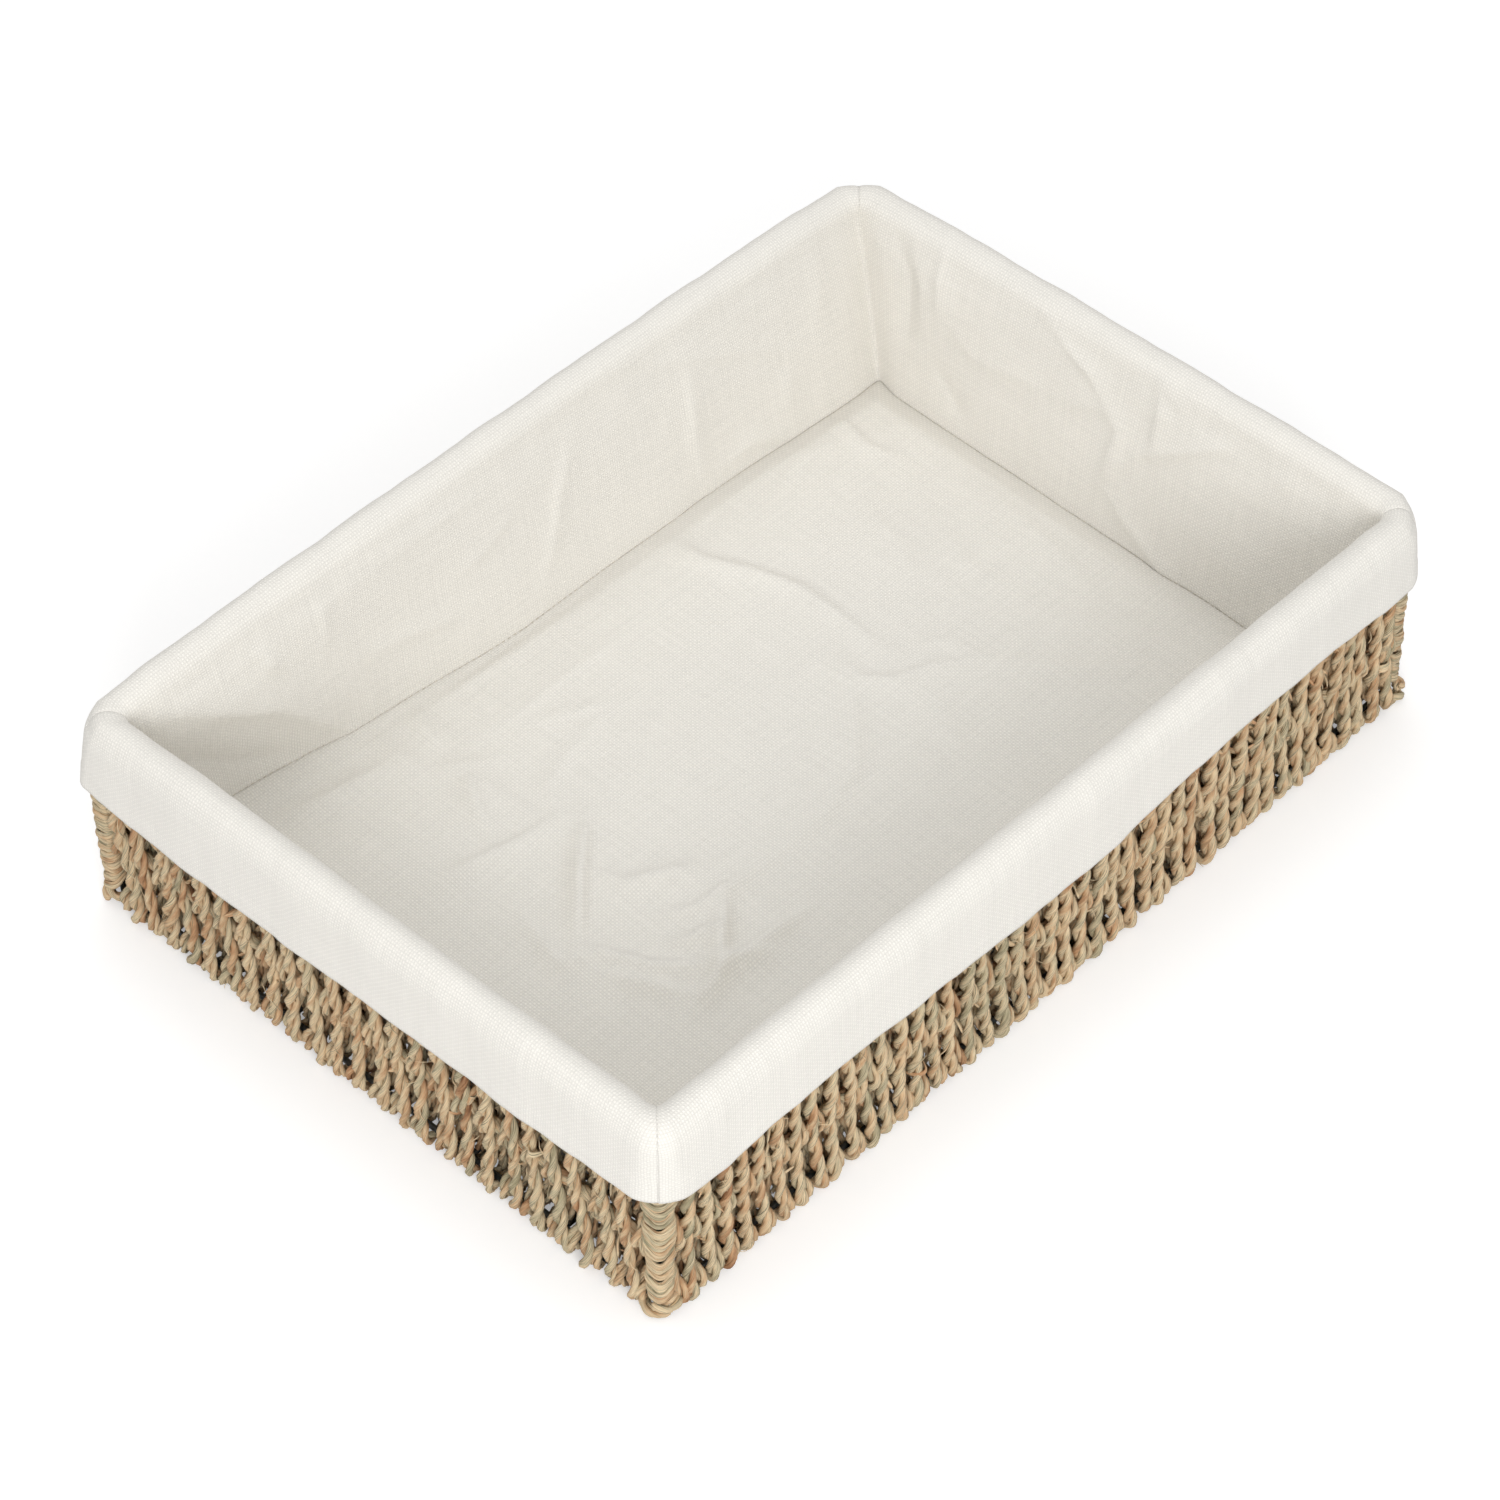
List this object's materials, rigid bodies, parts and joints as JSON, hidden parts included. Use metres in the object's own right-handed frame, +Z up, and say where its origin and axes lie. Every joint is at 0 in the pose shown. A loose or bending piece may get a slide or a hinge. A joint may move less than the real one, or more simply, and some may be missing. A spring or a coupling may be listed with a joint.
{
  "type": "lined tray basket",
  "caption": "Shallow rectangular basket of upright woven seagrass rope on a wire frame, lined with cream cotton that folds over the rim as a deep cuff.",
  "frame": {"origin": "middle of the underside, on the surface the basket stands on", "axes": "+X along the long sides, +Y along the short sides, +Z up; the front is the long side at -Y"},
  "size_m": [0.4666, 0.327, 0.1128],
  "materials": {
    "galvanised_wire": "dull zinc-coated steel wire",
    "seagrass": "dry two-ply seagrass rope, straw and grey-green, matt",
    "cotton": "unbleached plain-weave cotton, matt"
  },
  "bodies": {
    "basket": {"base_wire": "galvanised_wire", "mid_wire": "galvanised_wire", "upper_wire": "galvanised_wire", "rim_wire": "galvanised_wire", "corner_post_front_left": "galvanised_wire", "corner_post_front_right": "galvanised_wire", "corner_post_back_right": "galvanised_wire", "corner_post_back_left": "galvanised_wire", "base_rib_1": "galvanised_wire", "base_rib_2": "galvanised_wire", "base_rib_3": "galvanised_wire", "base_rib_4": "galvanised_wire", "base_rib_5": "galvanised_wire", "side_weave_front": "seagrass", "side_weave_back": "seagrass", "side_weave_left": "seagrass", "side_weave_right": "seagrass", "base_weave": "seagrass", "corner_wrap_front_left": "seagrass", "corner_wrap_front_right": "seagrass", "corner_wrap_back_right": "seagrass", "corner_wrap_back_left": "seagrass"},
    "liner": {"liner_floor": "cotton", "liner_front": "cotton", "liner_back": "cotton", "liner_left": "cotton", "liner_right": "cotton"}
  },
  "joints": [
    {"name": "liner_lift", "type": "slide", "parent": "basket", "child": "liner", "axis": [0, 0, 1], "range_m": [0, 0.14]}
  ]
}
